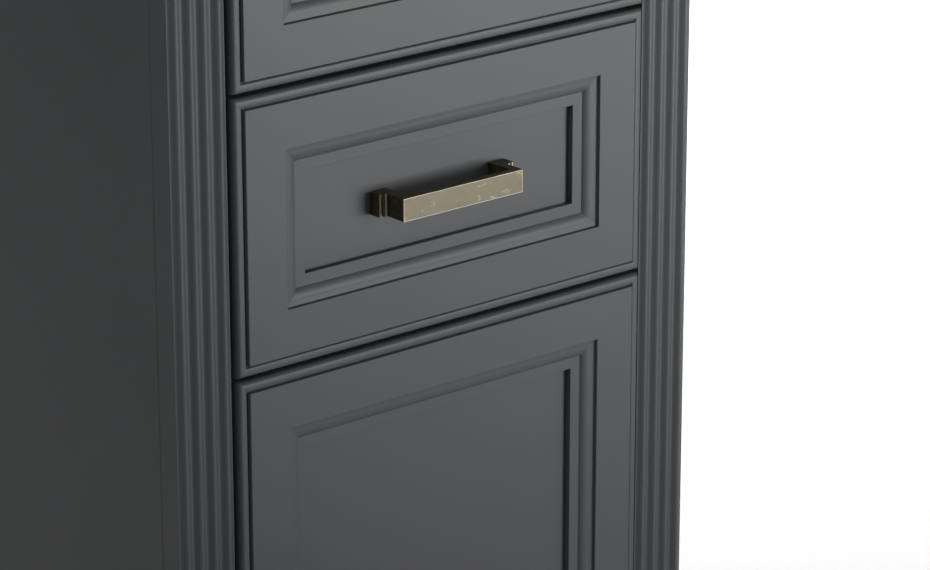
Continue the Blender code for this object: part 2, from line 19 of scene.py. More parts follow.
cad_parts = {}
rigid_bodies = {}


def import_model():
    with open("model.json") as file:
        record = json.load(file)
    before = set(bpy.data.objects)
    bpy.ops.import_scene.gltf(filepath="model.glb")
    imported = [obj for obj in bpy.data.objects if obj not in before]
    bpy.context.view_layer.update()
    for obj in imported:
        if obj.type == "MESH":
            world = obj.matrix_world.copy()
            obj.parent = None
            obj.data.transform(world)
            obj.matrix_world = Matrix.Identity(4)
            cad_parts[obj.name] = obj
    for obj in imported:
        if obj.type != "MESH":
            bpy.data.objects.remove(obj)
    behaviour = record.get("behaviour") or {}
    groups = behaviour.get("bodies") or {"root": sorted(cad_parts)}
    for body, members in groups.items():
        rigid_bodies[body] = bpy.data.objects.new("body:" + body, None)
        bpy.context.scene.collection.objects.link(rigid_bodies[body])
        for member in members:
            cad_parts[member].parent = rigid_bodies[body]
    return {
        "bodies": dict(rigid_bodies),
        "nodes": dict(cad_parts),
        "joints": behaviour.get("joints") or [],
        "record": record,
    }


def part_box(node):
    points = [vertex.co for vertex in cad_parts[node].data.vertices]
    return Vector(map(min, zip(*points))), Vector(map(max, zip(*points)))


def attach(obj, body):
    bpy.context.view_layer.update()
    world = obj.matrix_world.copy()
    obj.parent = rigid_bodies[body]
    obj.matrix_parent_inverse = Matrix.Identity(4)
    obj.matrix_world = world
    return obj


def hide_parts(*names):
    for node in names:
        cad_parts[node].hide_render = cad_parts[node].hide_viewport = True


log = logging.getLogger("pantry_cabinet")

MM = 0.001
# Points nearer than this are one point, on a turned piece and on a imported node.
MERGE = 0.00001
CAD_MERGE = 0.000002
# An edge that turns more than SHARP is eased, and more than HARD_CORNER shades crisply.
SHARP = math.radians(30)
HARD_CORNER = math.radians(50)
# A face is wide beside one a quarter of its width, and flat within two degrees.
WIDE = 4.0
STILL_FLAT = math.radians(2)
# How nearly a face's normal follows an axis when the face is square to it.
FACING = 0.99
# Noise seldom leaves this range.
NOISE_LOW, NOISE_HIGH = 0.3, 0.7
RELIEF_STRENGTH = 0.5

Point2 = tuple[float, float]
Socket = bpy.types.NodeSocket


class Axis(Enum):
    """A direction that grain or a straight run follows."""

    X = Vector((1, 0, 0))
    Y = Vector((0, 1, 0))
    Z = Vector((0, 0, 1))

    def stretch(self, short: float, long: float) -> tuple[float, float, float]:
        """Pattern frequencies that draw a blotch out along this axis.

        Args:
            short: The blotch's size across the axis.
            long: Its size along the axis, in the same unit.

        Returns:
            The frequency along X, Y and Z.
        """
        return tuple(short / long if part else 1.0 for part in self.value)


class Side(Enum):
    """A side of the cabinet, seen from the front, with the sign of its X."""

    LEFT = -1
    RIGHT = 1

    @property
    def word(self) -> str:
        """The side's name as the frame's nodes spell it."""
        return self.name.lower()


class Edge(Enum):
    """One of the four members of a framed front, and the way that it faces inwards."""

    STILE_LEFT = Vector((1, 0, 0))
    STILE_RIGHT = Vector((-1, 0, 0))
    RAIL_BOTTOM = Vector((0, 0, 1))
    RAIL_TOP = Vector((0, 0, -1))


# ---------------------------------------------------------------- small helpers
def linear(hex_colour: str) -> tuple[float, float, float, float]:
    """Turns an sRGB hex colour into linear light.

    Args:
        hex_colour: A colour such as "#5c5e5f".

    Returns:
        Red, green, blue and an alpha of one.
    """
    channels = [int(hex_colour[start:start + 2], 16) / 255 for start in (1, 3, 5)]
    light = [c / 12.92 if c <= 0.04045 else ((c + 0.055) / 1.055) ** 2.4 for c in channels]
    return (*light, 1.0)


def add_node(
    tree: bpy.types.NodeTree, kind: str, inputs: dict | None = None, **settings: object
) -> bpy.types.Node:
    """Adds a shader node with its settings, and fills or links its inputs.

    Args:
        tree: The tree that the node goes in.
        kind: The node's type name.
        inputs: Input name or index to a value, or to the socket that feeds it.
        **settings: Properties of the node itself.

    Returns:
        The new node.
    """
    node = tree.nodes.new(kind)
    for key, value in settings.items():
        setattr(node, key, value)
    for key, value in (inputs or {}).items():
        if isinstance(value, Socket):
            tree.links.new(value, node.inputs[key])
        else:
            node.inputs[key].default_value = value
    return node


def arc(centre: Point2, radii: Point2, start: float, end: float, steps: int) -> list[Point2]:
    """Points along an elliptical arc, its ends included.

    Args:
        centre: The ellipse's centre.
        radii: Its half widths along X and Y.
        start: First angle, in degrees.
        end: Last angle, in degrees.
        steps: Number of chords.

    Returns:
        The points in order.
    """
    angles = [math.radians(start + (end - start) * i / steps) for i in range(steps + 1)]
    return [
        (centre[0] + radii[0] * math.cos(a), centre[1] + radii[1] * math.sin(a)) for a in angles
    ]


def crown(start: float, end: float, base: float, rise: float, steps: int) -> list[Point2]:
    """A shallow circular arc between two points at one level.

    Args:
        start: X of its first point.
        end: X of its last point.
        base: Y of both.
        rise: Height of its middle over them, below zero for a hollow.
        steps: Number of chords.

    Returns:
        The points in order, its ends included.
    """
    half = (end - start) / 2
    radius = (half**2 + rise**2) / (2 * abs(rise))
    sweep = math.degrees(math.asin(min(1.0, abs(half) / radius)))
    up, way = math.copysign(1, rise), math.copysign(1, half)
    centre = (start + half, base + rise - up * radius)
    return arc(centre, (radius, radius), up * (90 + way * sweep), up * (90 - way * sweep), steps)


def is_crisp(edge: bmesh.types.BMEdge) -> bool:
    """Whether the shading breaks at an edge.

    It breaks at a hard corner, and where a wide flat meets a narrow facet, so that
    an eased corner does not shade the flat beside it.

    Args:
        edge: An edge of a closed mesh.

    Returns:
        True if it is to be kept crisp.
    """
    if not edge.is_manifold:
        return True
    turn = edge.calc_face_angle()
    widths = sorted(
        face.calc_area() / max(side.calc_length() for side in face.edges)
        for face in edge.link_faces
    )
    return turn > HARD_CORNER or (turn > STILL_FLAT and widths[1] > WIDE * widths[0])


def finished_mesh(bm: bmesh.types.BMesh, name: str) -> bpy.types.Mesh:
    """Turns a bmesh into a smooth mesh with its crisp edges marked, and frees it.

    Args:
        bm: The bmesh.
        name: The mesh's name.

    Returns:
        The mesh.
    """
    bmesh.ops.recalc_face_normals(bm, faces=bm.faces)
    for face in bm.faces:
        face.smooth = True
    for edge in bm.edges:
        edge.smooth = not is_crisp(edge)
    mesh = bpy.data.meshes.new(name)
    bm.to_mesh(mesh)
    bm.free()
    return mesh


def outline_face(
    bm: bmesh.types.BMesh, corners: Iterable[Vector], ease: float = 0.0
) -> bmesh.types.BMFace:
    """Makes a flat face from an outline and eases its sharp corners.

    Args:
        bm: The bmesh that the face goes in.
        corners: The outline's points in space, in order.
        ease: Length cut back at each sharp corner to round it.

    Returns:
        The face.
    """
    face = bm.faces.new([bm.verts.new(corner) for corner in corners])
    if ease:
        turns = {loop.vert: math.pi - loop.calc_angle() for loop in face.loops}
        sharp = [vert for vert, turn in turns.items() if abs(turn) > SHARP]
        bmesh.ops.bevel(
            bm, geom=sharp, offset=ease, offset_type="OFFSET", segments=3, profile=0.5,
            affect="VERTICES", material=-1, clamp_overlap=True,
        )
    return bm.faces[:][-1]


def lift(bm: bmesh.types.BMesh, face: bmesh.types.BMFace) -> list[bmesh.types.BMVert]:
    """Extrudes a face on the spot.

    Args:
        bm: The bmesh that holds the face.
        face: The face.

    Returns:
        The new vertices, ready to be moved.
    """
    grown = bmesh.ops.extrude_face_region(bm, geom=[face], use_keep_orig=True)["geom"]
    return [part for part in grown if isinstance(part, bmesh.types.BMVert)]


def bevel_sharp(bm: bmesh.types.BMesh, width: float, segments: int) -> None:
    """Rounds every edge of a closed mesh that turns more sharply than SHARP.

    Args:
        bm: The bmesh.
        width: How far back each edge is cut.
        segments: Facets across each rounded edge.
    """
    edges = [e for e in bm.edges if e.is_manifold and e.calc_face_angle() > SHARP]
    bmesh.ops.bevel(
        bm, geom=edges, offset=width, offset_type="OFFSET", segments=segments, profile=0.5,
        affect="EDGES", material=-1, clamp_overlap=True,
    )


def turned(name: str, profile: list[Point2], steps: int, turn: Matrix) -> bpy.types.Mesh:
    """Spins a profile about its own Z, and then turns the shape into place.

    Args:
        name: The mesh's name.
        profile: Radius and height of each point, both ends on the axis.
        steps: Number of facets round it.
        turn: Where the finished shape goes.

    Returns:
        The mesh.
    """
    bm = bmesh.new()
    verts = [bm.verts.new((radius, 0, height)) for radius, height in profile]
    edges = [bm.edges.new(pair) for pair in zip(verts, verts[1:])]
    bmesh.ops.spin(
        bm, geom=verts + edges, cent=(0, 0, 0), axis=(0, 0, 1), dvec=(0, 0, 0),
        angle=2 * math.pi, steps=steps, use_merge=True, use_duplicate=False,
    )
    bmesh.ops.remove_doubles(bm, verts=bm.verts, dist=MERGE)
    bmesh.ops.transform(bm, matrix=turn, verts=bm.verts)
    return finished_mesh(bm, name)


# --------------------------------------------------------------------- finishes
@dataclass(frozen=True)
class Finish:
    """A material with a maker's name and the record's slot that it stands for.

    Its roughness runs from `smoother` below the middle value to `rougher` above it.
    """

    name: str
    slot: str
    roughness: float
    ior: float = 1.5
    metallic: float = 0.0
    smoother: float = 0.05
    rougher: float = 0.05

    def paint(self, tree: bpy.types.NodeTree, shader: bpy.types.Node) -> None:
        """Adds this finish's own nodes, in each kind of finish."""
        raise NotImplementedError

    def material(self) -> bpy.types.Material:
        """Makes the finish's material, or finds the one made before.

        Returns:
            The material.
        """
        known = bpy.data.materials.get(self.name)
        if known:
            return known
        material = bpy.data.materials.new(self.name)
        material.use_nodes = True
        tree = material.node_tree
        shader = tree.nodes["Principled BSDF"]
        shader.inputs["Metallic"].default_value = self.metallic
        if not self.metallic:
            shader.inputs["IOR"].default_value = self.ior
        self.paint(tree, shader)
        return material

    def speckle(
        self, tree: bpy.types.NodeTree, size_mm: float, detail: float = 2.0,
        stretch: tuple[float, float, float] = (1, 1, 1),
    ) -> Socket:
        """Noise in the object's own space.

        Args:
            tree: The material's node tree.
            size_mm: Size of one blotch.
            detail: Octaves of finer noise.
            stretch: Frequency along each axis, below one for a longer blotch.

        Returns:
            The noise's value.
        """
        place = add_node(tree, "ShaderNodeTexCoord").outputs["Object"]
        place = add_node(tree, "ShaderNodeMapping", {"Vector": place, "Scale": stretch}).outputs[0]
        scale = 1 / (size_mm * MM)
        return add_node(
            tree, "ShaderNodeTexNoise", {"Vector": place, "Scale": scale, "Detail": detail}
        ).outputs[0]

    def dress(
        self, tree: bpy.types.NodeTree, shader: bpy.types.Node, colour: Socket,
        rough_by: Socket, height: Socket, height_mm: float,
    ) -> None:
        """Links colour, roughness and relief to the shader.

        Args:
            tree: The material's node tree.
            shader: Its Principled BSDF.
            colour: What feeds the base colour.
            rough_by: What drives the roughness.
            height: What drives the relief.
            height_mm: Depth of the relief.
        """
        rough = add_node(
            tree, "ShaderNodeMapRange",
            {"Value": rough_by, "From Min": NOISE_LOW, "From Max": NOISE_HIGH,
             "To Min": self.roughness - self.smoother, "To Max": self.roughness + self.rougher},
        ).outputs[0]
        bump = add_node(
            tree, "ShaderNodeBump",
            {"Height": height, "Strength": RELIEF_STRENGTH, "Distance": height_mm * MM},
        ).outputs[0]
        tree.links.new(colour, shader.inputs["Base Color"])
        tree.links.new(rough, shader.inputs["Roughness"])
        tree.links.new(bump, shader.inputs["Normal"])


@dataclass(frozen=True)
class SprayedLacquer(Finish):
    """Matt polyurethane lacquer sprayed on fibreboard."""

    light: str = "#5f6163"
    dark: str = "#5a5c5e"
    cloud_mm: float = 160.0
    # Sprayed lacquer dries with a soft peel. A real one is about 1 mm across, too
    # fine to show, so it is drawn three times as coarse.
    peel_mm: float = 3.0
    peel_height_mm: float = 0.05
    smoother: float = 0.01
    rougher: float = 0.01

    def paint(self, tree: bpy.types.NodeTree, shader: bpy.types.Node) -> None:
        """Even colour with faint clouds, a soft peel and a low sheen.

        Args:
            tree: The material's node tree.
            shader: Its Principled BSDF.
        """
        cloud = self.speckle(tree, self.cloud_mm, 3.0)
        colour = add_node(
            tree, "ShaderNodeMix",
            {"Factor": cloud, 6: linear(self.light), 7: linear(self.dark)}, data_type="RGBA",
        ).outputs[2]
        peel = self.speckle(tree, self.peel_mm)
        self.dress(tree, shader, colour, cloud, peel, self.peel_height_mm)


@dataclass(frozen=True)
class MelamineBoard(Finish):
    """Melamine-faced chipboard, pressed with a fine pearl texture."""

    light: str = "#56585a"
    dark: str = "#4d4f51"
    # The pearl is 0.3 mm on a real board and is drawn at 1.5 mm, so that it shows.
    pearl_mm: float = 1.5
    pearl_height_mm: float = 0.08
    smoother: float = 0.06
    rougher: float = 0.06

    def paint(self, tree: bpy.types.NodeTree, shader: bpy.types.Node) -> None:
        """Flat colour broken by the pressed pearl.

        Args:
            tree: The material's node tree.
            shader: Its Principled BSDF.
        """
        pearl = self.speckle(tree, self.pearl_mm, 1.0)
        colour = add_node(
            tree, "ShaderNodeMix",
            {"Factor": pearl, 6: linear(self.light), 7: linear(self.dark)}, data_type="RGBA",
        ).outputs[2]
        self.dress(tree, shader, colour, pearl, pearl, self.pearl_height_mm)


@dataclass(frozen=True)
class Hardboard(Finish):
    """Painted hardboard, with its pressed fibres showing through the paint."""

    light: str = "#606264"
    dark: str = "#525456"
    # Pressed fibres are about 0.2 mm thick and are drawn at 2 mm.
    fibre_mm: float = 2.0
    fibre_length_mm: float = 5.714
    fibre_height_mm: float = 0.12
    blotch_mm: float = 12.0
    rougher: float = 0.10

    def paint(self, tree: bpy.types.NodeTree, shader: bpy.types.Node) -> None:
        """Short tangled fibres under thin paint.

        Args:
            tree: The material's node tree.
            shader: Its Principled BSDF.
        """
        upright = Axis.Z.stretch(self.fibre_mm, self.fibre_length_mm)
        fibre = self.speckle(tree, self.fibre_mm, 6.0, upright)
        blotch = self.speckle(tree, self.blotch_mm)
        mixed = add_node(
            tree, "ShaderNodeMath", {0: fibre, 1: blotch}, operation="MULTIPLY"
        ).outputs[0]
        sharper = add_node(
            tree, "ShaderNodeMapRange", {"Value": mixed, "From Min": 0.12, "From Max": 0.4}
        ).outputs[0]
        colour = add_node(
            tree, "ShaderNodeMix",
            {"Factor": sharper, 6: linear(self.dark), 7: linear(self.light)}, data_type="RGBA",
        ).outputs[2]
        self.dress(tree, shader, colour, fibre, fibre, self.fibre_height_mm)


@dataclass(frozen=True)
class BeechPlywood(Finish):
    """Varnished beech plywood, with its grain along one axis."""

    grain: Axis = Axis.Y
    light: str = "#cfae83"
    dark: str = "#a97f52"
    fleck: str = "#8a6038"
    # Growth lines 3 mm apart run on for 70 mm, and each fleck is a short dark dash.
    line_mm: float = 3.0
    run_mm: float = 70.0
    grain_height_mm: float = 0.06
    cloud_mm: float = 60.0
    fleck_mm: float = 0.9
    fleck_length_mm: float = 7.5
    fleck_strength: float = 0.6
    smoother: float = 0.07

    def paint(self, tree: bpy.types.NodeTree, shader: bpy.types.Node) -> None:
        """Long pale grain with the short dark flecks of beech.

        Args:
            tree: The material's node tree.
            shader: Its Principled BSDF.
        """
        along = self.grain.stretch(self.line_mm, self.run_mm)
        grain = self.speckle(tree, self.line_mm, 4.0, along)
        cloud = self.speckle(tree, self.cloud_mm, stretch=along)
        wood = add_node(
            tree, "ShaderNodeMix",
            {"Factor": grain, 6: linear(self.light), 7: linear(self.dark)}, data_type="RGBA",
        ).outputs[2]
        short = self.grain.stretch(self.fleck_mm, self.fleck_length_mm)
        fleck = self.speckle(tree, self.fleck_mm, 1.0, short)
        # Only the noise's peaks make a fleck.
        fleck = add_node(
            tree, "ShaderNodeMapRange",
            {"Value": fleck, "From Min": 0.62, "From Max": 0.72, "To Max": self.fleck_strength},
        ).outputs[0]
        colour = add_node(
            tree, "ShaderNodeMix",
            {"Factor": fleck, 6: wood, 7: linear(self.fleck)}, data_type="RGBA",
        ).outputs[2]
        self.dress(tree, shader, colour, cloud, grain, self.grain_height_mm)


@dataclass(frozen=True)
class AgedBrass(Finish):
    """Cast brass, darkened and then brushed back along its length."""

    run: Axis = Axis.X
    bright: str = "#827b6b"
    dull: str = "#6f6959"
    patch: str = "#a59d8a"
    # Brush lines are 0.1 mm apart on the real bar and are drawn at 0.5 mm.
    line_mm: float = 0.5
    run_mm: float = 18.0
    line_height_mm: float = 0.05
    patch_mm: float = 5.0
    patch_from: float = 0.60
    patch_to: float = 0.72
    patch_strength: float = 0.8
    smoother: float = 0.08
    rougher: float = 0.10

    def paint(self, tree: bpy.types.NodeTree, shader: bpy.types.Node) -> None:
        """Brushed streaks, broken by patches that are rubbed or left dark.

        Args:
            tree: The material's node tree.
            shader: Its Principled BSDF.
        """
        along = self.run.stretch(self.line_mm, self.run_mm)
        streak = self.speckle(tree, self.line_mm, 3.0, along)
        metal = add_node(
            tree, "ShaderNodeMix",
            {"Factor": streak, 6: linear(self.dull), 7: linear(self.bright)}, data_type="RGBA",
        ).outputs[2]
        patch = self.speckle(tree, self.patch_mm, 5.0, (0.6, 1.0, 0.8))
        patch = add_node(
            tree, "ShaderNodeMapRange",
            {"Value": patch, "From Min": self.patch_from, "From Max": self.patch_to,
             "To Max": self.patch_strength},
        ).outputs[0]
        colour = add_node(
            tree, "ShaderNodeMix",
            {"Factor": patch, 6: metal, 7: linear(self.patch)}, data_type="RGBA",
        ).outputs[2]
        self.dress(tree, shader, colour, streak, streak, self.line_height_mm)


@dataclass(frozen=True)
class PlatedSteel(Finish):
    """Pressed steel with a thin plating, faintly banded by rolling."""

    light: str = "#c4c6c8"
    dark: str = "#9fa2a5"
    # Rolling leaves marks about 0.5 mm apart, which are drawn at 6 mm.
    band_mm: float = 6.0
    band_length_mm: float = 60.0
    band_height_mm: float = 0.02
    rolled: Axis = Axis.Y
    smoother: float = 0.06
    rougher: float = 0.12

    def paint(self, tree: bpy.types.NodeTree, shader: bpy.types.Node) -> None:
        """Rolled bands under a mottled plating.

        Args:
            tree: The material's node tree.
            shader: Its Principled BSDF.
        """
        along = self.rolled.stretch(self.band_mm, self.band_length_mm)
        band = self.speckle(tree, self.band_mm, 4.0, along)
        colour = add_node(
            tree, "ShaderNodeMix",
            {"Factor": band, 6: linear(self.light), 7: linear(self.dark)}, data_type="RGBA",
        ).outputs[2]
        self.dress(tree, shader, colour, band, band, self.band_height_mm)


@dataclass(frozen=True)
class MouldedPlastic(Finish):
    """Injection-moulded plastic, spark-eroded to a fine grain."""

    light: str = "#26272a"
    dark: str = "#1d1e20"
    # A spark-eroded grain is about 0.1 mm and is drawn at 0.8 mm.
    grain_mm: float = 0.8
    grain_height_mm: float = 0.05
    rougher: float = 0.08

    def paint(self, tree: bpy.types.NodeTree, shader: bpy.types.Node) -> None:
        """One colour with an even moulded grain.

        Args:
            tree: The material's node tree.
            shader: Its Principled BSDF.
        """
        grain = self.speckle(tree, self.grain_mm)
        colour = add_node(
            tree, "ShaderNodeMix",
            {"Factor": grain, 6: linear(self.light), 7: linear(self.dark)}, data_type="RGBA",
        ).outputs[2]
        self.dress(tree, shader, colour, grain, grain, self.grain_height_mm)


LACQUER = SprayedLacquer("graphite_polyurethane_lacquer", "graphite_lacquer", 0.50)
MELAMINE = MelamineBoard("graphite_melamine_board", "graphite_board", 0.52)
BACKING = Hardboard("painted_hardboard", "hardboard", 0.65)
PLY_SIDES = BeechPlywood("beech_plywood_lengthways", "beech_ply", 0.45, grain=Axis.Y)
PLY_ACROSS = BeechPlywood("beech_plywood_crossways", "beech_ply", 0.45, grain=Axis.X)
BRASS_ACROSS = AgedBrass("brushed_brass_crossways", "aged_brass", 0.36, metallic=1.0)
BRASS_UPRIGHT = AgedBrass("brushed_brass_upright", "aged_brass", 0.36, metallic=1.0, run=Axis.Z)
# The edges of a handle's face are rubbed back to bare metal. Their bright colour is also a painted
# highlight, as on the foot's bead and lip.
RUBBED_HIGHLIGHT = AgedBrass(
    "rubbed_brass_edge", "aged_brass", 0.34, metallic=1.0, bright="#cdc5b3", dull="#b3aa96",
    patch="#8f8773",
)
# The sides of a handle keep the dark patina, which the brush only takes off its face. The dark colour
# is also painted shade on the sides turned from the light.
# Patina, with painted shade on the handle's sides.
PATINA_AND_SHADE = AgedBrass(
    "patinated_brass", "aged_brass", 0.5, metallic=1.0, bright="#857d60", dull="#655f49",
    patch="#5a5642", patch_from=0.4, patch_to=0.6,
)
ZINC = PlatedSteel("zinc_plated_steel", "zinc_steel", 0.34, metallic=1.0)
NICKEL = PlatedSteel(
    "nickel_plated_steel", "nickel_steel", 0.24, metallic=1.0, light="#cfcac2", dark="#b5b0a8",
    rolled=Axis.Z,
)
PLASTIC = MouldedPlastic("black_polypropylene", "black_plastic", 0.5)


# ------------------------------------------------------------------- the frame
class Frame:
    """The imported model: which body each node rides on, and how big each node is."""

    def __init__(self) -> None:
        """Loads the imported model."""
        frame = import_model()
        self.nodes: dict[str, bpy.types.Object] = frame["nodes"]
        self.body_of: dict[str, str] = {
            node: body
            for body, nodes in frame["record"]["behaviour"]["bodies"].items()
            for node in nodes
        }
        self.count = 0

    def named(self, *words: str) -> list[str]:
        """The nodes whose names hold every one of these words, in order."""
        return sorted(node for node in self.nodes if all(word in node for word in words))

    def install(
        self, mesh: bpy.types.Mesh, body: str, finishes: Finish | list[Finish], *nodes: str
    ) -> bpy.types.Object:
        """Adds a finished piece, in place, on a body.

        Args:
            mesh: The piece's mesh, in the cabinet's own space. It names the piece.
            body: The body that it rides on.
            finishes: One finish, or one for each of the mesh's material numbers.
            *nodes: The frame's nodes that it stands for.

        Returns:
            The piece.
        """
        piece = bpy.data.objects.new(mesh.name, mesh)
        bpy.context.scene.collection.objects.link(piece)
        several = finishes if isinstance(finishes, list) else [finishes]
        for finish in several:
            mesh.materials.append(finish.material())
        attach(piece, body)
        if nodes:
            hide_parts(*nodes)
        self.count += 1
        log.info("%s rides on %s", piece.name, body)
        return piece

    def ease(self, node: str, finish: Finish, width_mm: float = 0.8, segments: int = 2) -> None:
        """Replaces a node by a copy of itself with eased edges.

        Args:
            node: The node's name.
            finish: What the piece is finished with.
            width_mm: How far back each edge is eased.
            segments: Facets across each eased edge.
        """
        bm = bmesh.new()
        bm.from_mesh(self.nodes[node].data)
        bmesh.ops.remove_doubles(bm, verts=bm.verts, dist=CAD_MERGE)
        bmesh.ops.dissolve_limit(
            bm, angle_limit=math.radians(1), use_dissolve_boundaries=False,
            verts=bm.verts, edges=bm.edges, delimit=set(),
        )
        bevel_sharp(bm, width_mm * MM, segments)
        self.install(finished_mesh(bm, f"{node}_eased"), self.body_of[node], finish, node)


# ------------------------------------------------------------------- the fronts
@dataclass
class FramedFront:
    """A mitred frame round a sunk panel: a door's or the drawer's."""

    name: str
    side_clearance: float = 0.6 * MM
    lip_depth: float = 7.0 * MM
    bead_width: float = 8.5 * MM
    bead_depth: float = 2.0 * MM
    bead_shoulder: float = 3.2 * MM
    bead_crown: float = 0.15 * MM
    bead_fall: float = 1.6 * MM
    groove_depth: float = 4.4 * MM
    groove_slope: float = 0.5 * MM
    border: float = 10.0 * MM
    field_width: float = 39.5 * MM
    ovolo_wall: float = 3.3 * MM
    ovolo_width: float = 13.5 * MM
    ovolo_shelf: float = 4.0 * MM
    ovolo_slope: float = 0.5 * MM
    ovolo_end: float = 20.0
    ledge_depth: float = 8.0 * MM
    panel_depth: float = 14.0 * MM
    panel_bite: float = 7.5 * MM
    mitre_gap: float = 0.03 * MM
    fit: float = 0.3 * MM
    ease: float = 0.4 * MM
    panel_ease_mm: float = 0.5
    cup_diameter: float = 34.4 * MM
    bore_gap: float = 0.3 * MM
    bore_start: float = -0.5 * MM
    bore_length: float = 12.0 * MM

    def outline(self, width: float, thickness: float, panel_back: float) -> list[Point2]:
        """Section of a member: X inwards from its outer edge, Y out from the field.

        Args:
            width: The member's whole width.
            thickness: Its thickness, from the field to the back.
            panel_back: Depth of the panel's back below the field.

        Returns:
            The section's points in order.
        """
        shoulder, fall = self.bead_shoulder, self.groove_depth - self.bead_depth
        points = [(0.0, -thickness)]
        points += arc(
            (shoulder, -self.lip_depth), (shoulder, self.lip_depth - self.bead_depth), 180, 90, 10
        )
        inner = self.bead_width - self.bead_fall
        points += crown(shoulder, inner, -self.bead_depth, self.bead_crown, 8)[1:]
        points += arc((inner, -self.groove_depth), (self.bead_fall, fall), 90, 0, 8)[1:]
        points += [(self.border - self.groove_slope, -self.groove_depth), (self.border, 0.0)]
        start = self.border + self.field_width
        end = start + self.ovolo_width
        points.append((start, 0.0))
        points += self.ovolo((start + self.fit, -self.ovolo_wall), (end, -self.ledge_depth))
        bite, front, back = width - self.panel_bite, self.fit - self.panel_depth, -panel_back - self.fit
        points += [(width, -self.ledge_depth), (width, front), (bite, front), (bite, back)]
        points += [(width, back), (width, -thickness)]
        return points

    def ovolo(self, first: Point2, last: Point2) -> list[Point2]:
        """The moulding between two points: a gentle slope, and then a round.

        Args:
            first: Where it leaves the wall beside the field.
            last: Where it lands on the ledge.

        Returns:
            The points in order.
        """
        turn = math.radians(self.ovolo_end)
        start = (first[0] + self.ovolo_shelf, first[1] - self.ovolo_slope)
        wide = (last[0] - start[0]) / math.cos(turn)
        deep = (start[1] - last[1]) / (1 - math.sin(turn))
        return [first, *arc((start[0], start[1] - deep), (wide, deep), 90, self.ovolo_end, 14)]

    def build(self, frame: Frame) -> None:
        """Makes the four members and the panel, in place of the frame's own.

        Args:
            frame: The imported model.
        """
        body = frame.body_of[f"{self.name}_panel"]
        low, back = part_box(f"{self.name}_stile_left")
        _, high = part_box(f"{self.name}_stile_right")
        width, thickness = back.x - low.x, back.y - low.y
        low.x += self.side_clearance
        high.x -= self.side_clearance
        _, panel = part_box(f"{self.name}_panel")
        section = self.outline(width, thickness, panel.y - low.y)
        middle = Vector(((low.x + high.x) / 2, low.y, (low.z + high.z) / 2))
        spans = {Axis.X: high.x - low.x, Axis.Z: high.z - low.z}
        for edge in Edge:
            inwards = edge.value
            across = Axis.X if inwards.x else Axis.Z
            run = Axis.Z if inwards.x else Axis.X
            node = f"{self.name}_{edge.name.lower()}"
            start = middle - inwards * spans[across] / 2 - run.value * spans[run] / 2
            mesh = self.member(f"{node}_moulded", section, start, inwards, run, spans[run])
            frame.install(mesh, body, LACQUER, node)
        frame.ease(f"{self.name}_panel", LACQUER, self.panel_ease_mm)
        self.cut_hinge_bores(frame)

    def member(
        self, name: str, section: list[Point2], start: Vector, inwards: Vector,
        run: Axis, length: float,
    ) -> bpy.types.Mesh:
        """Draws the section out along one side and shears both ends to a mitre.

        Args:
            name: The piece's name.
            section: The member's section.
            start: Outer corner of the front where the member begins.
            inwards: Direction from the outer edge towards the panel.
            run: Axis that the member runs along.
            length: Length of the member's outer edge.

        Returns:
            The mesh.
        """
        along, out = run.value, -Axis.Y.value
        bm = bmesh.new()
        corners = [start + inwards * across + out * level for across, level in section]
        face = outline_face(bm, corners, self.ease)
        far = lift(bm, face)
        near = set(bm.verts) - set(far)
        for vert in near:
            vert.co += along * ((vert.co - start).dot(inwards) + self.mitre_gap)
        for vert in far:
            vert.co += along * (length - (vert.co - start).dot(inwards) - self.mitre_gap)
        return finished_mesh(bm, name)

    def cut_hinge_bores(self, frame: Frame) -> None:
        """Bores the right stile for each hinge cup that the front has.

        Args:
            frame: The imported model.
        """
        stile = bpy.data.objects[f"{self.name}_stile_right_moulded"]
        cups = frame.named(self.name, "cup")
        if not cups:
            return
        bm = bmesh.new()
        radius = self.cup_diameter / 2 + self.bore_gap
        for cup in cups:
            low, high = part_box(cup)
            middle = (low + high) / 2
            middle.y = low.y + self.bore_start + self.bore_length / 2
            bmesh.ops.create_cone(
                bm, cap_ends=True, segments=48, radius1=radius, radius2=radius,
                depth=self.bore_length,
                matrix=Matrix.Translation(middle) @ Matrix.Rotation(math.pi / 2, 4, "X"),
            )
        drill = bpy.data.objects.new(f"{self.name}_drill", finished_mesh(bm, f"{self.name}_drill"))
        bpy.context.scene.collection.objects.link(drill)
        cut = stile.modifiers.new("bores", "BOOLEAN")
        cut.object = drill
        cut.operation = "DIFFERENCE"
        graph = bpy.context.evaluated_depsgraph_get()
        bored = bpy.data.meshes.new_from_object(stile.evaluated_get(graph))
        stile.modifiers.clear()
        stile.data = bored
        bpy.data.objects.remove(drill, do_unlink=True)


